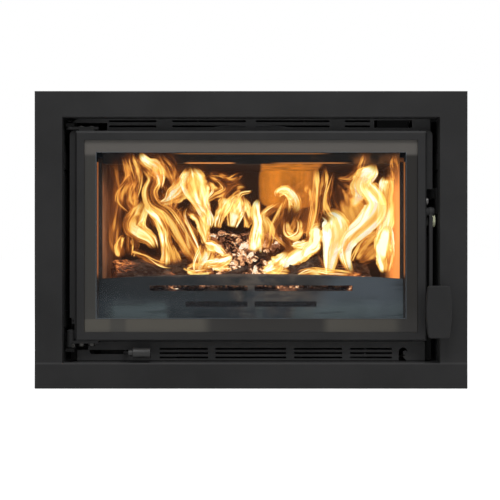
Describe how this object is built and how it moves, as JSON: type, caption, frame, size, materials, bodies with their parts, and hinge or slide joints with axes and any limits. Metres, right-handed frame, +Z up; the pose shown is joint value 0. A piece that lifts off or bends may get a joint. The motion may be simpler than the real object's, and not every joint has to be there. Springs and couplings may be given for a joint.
{
  "type": "fireplace insert",
  "caption": "Landscape inset wood-burning fireplace with a flat surround frame, slotted grilles, a glazed side-hung door, a cam latch with paddle handle and a sliding air control.",
  "frame": {"origin": "on the wall plane, at the middle of the surround frame's lower edge", "axes": "+X to the viewer's right, +Y away from the viewer into the wall, +Z up"},
  "size_m": [0.8, 0.446, 0.56],
  "materials": {
    "frame_paint": "smooth matt black stove paint",
    "stove_paint": "matt black stove paint, slightly textured",
    "galvanised": "black-coated sheet steel",
    "steel": "plain turned steel",
    "cast_iron": "cast iron, matt, dusted with ash",
    "brass_roller": "pale turned brass",
    "door_glass": "ceramic glass with a printed dark border",
    "rope": "woven glass-fibre rope",
    "fire_brick": "pressed vermiculite board, heat-stained",
    "charred_wood": "charred split logs",
    "embers": "glowing charcoal and grey ash"
  },
  "bodies": {
    "root": {"air_housing": "galvanised", "airwash_deflector": "stove_paint", "back_brick": "fire_brick", "bottom_grille": "stove_paint", "casing_back": "galvanised", "casing_base": "galvanised", "casing_left": "galvanised", "casing_right": "galvanised", "casing_screws": "steel", "casing_top": "galvanised", "catch_keeper": "stove_paint", "charcoal_heap": "embers", "ember_bed": "embers", "firebox_back": "stove_paint", "firebox_base": "stove_paint", "firebox_front": "stove_paint", "firebox_left": "stove_paint", "firebox_right": "stove_paint", "firebox_supports": "galvanised", "firebox_top": "stove_paint", "flue_bolts": "steel", "flue_collar": "stove_paint", "frame_hangers": "galvanised", "front_cheeks": "stove_paint", "hearth_bricks": "fire_brick", "hinge_brackets": "stove_paint", "hinge_pins": "steel", "jamb_strip_left": "stove_paint", "jamb_strip_right": "stove_paint", "levelling_feet": "steel", "log_back": "charred_wood", "log_left": "charred_wood", "log_right": "charred_wood", "log_top": "charred_wood", "side_bricks": "fire_brick", "surround_frame": "frame_paint", "throat_plates": "fire_brick", "top_grille": "stove_paint"},
    "door": {"door_frame": "stove_paint", "door_glass": "door_glass", "glass_gasket": "rope", "glass_retainer": "stove_paint", "retainer_screws": "steel", "door_rope_seal": "rope", "hinge_plate_upper": "stove_paint", "hinge_plate_lower": "stove_paint", "hinge_bolts": "steel", "lever_pivot_stud": "stove_paint", "lever_stop_screw": "steel"},
    "lever": {"lever_arm": "stove_paint", "handle_paddle": "frame_paint", "paddle_screws": "steel", "roller_pin": "steel"},
    "latch_roller": {"latch_roller": "brass_roller"},
    "air_control": {"air_slide": "galvanised", "air_rod": "stove_paint", "air_knob": "stove_paint"},
    "log_guard": {"log_guard": "cast_iron"}
  },
  "joints": [
    {"name": "door_hinge", "type": "hinge", "parent": "root", "child": "door", "pos_m": [-0.3365, -0.013, 0.283], "axis": [0, 0, -1], "range_deg": [0, 95]},
    {"name": "lever_hinge", "type": "hinge", "parent": "door", "child": "lever", "pos_m": [0.3345, -0.012, 0.3275], "axis": [1, 0, 0], "range_deg": [-60, 0]},
    {"name": "roller_spin", "type": "hinge", "parent": "lever", "child": "latch_roller", "pos_m": [0.3415, 0.01, 0.3105], "axis": [1, 0, 0], "continuous": true},
    {"name": "air_slide_x", "type": "slide", "parent": "root", "child": "air_control", "axis": [1, 0, 0], "range_m": [-0.06, 0]},
    {"name": "log_guard_lift", "type": "slide", "parent": "root", "child": "log_guard", "axis": [0, 0, 1], "range_m": [0, 0.08]}
  ]
}
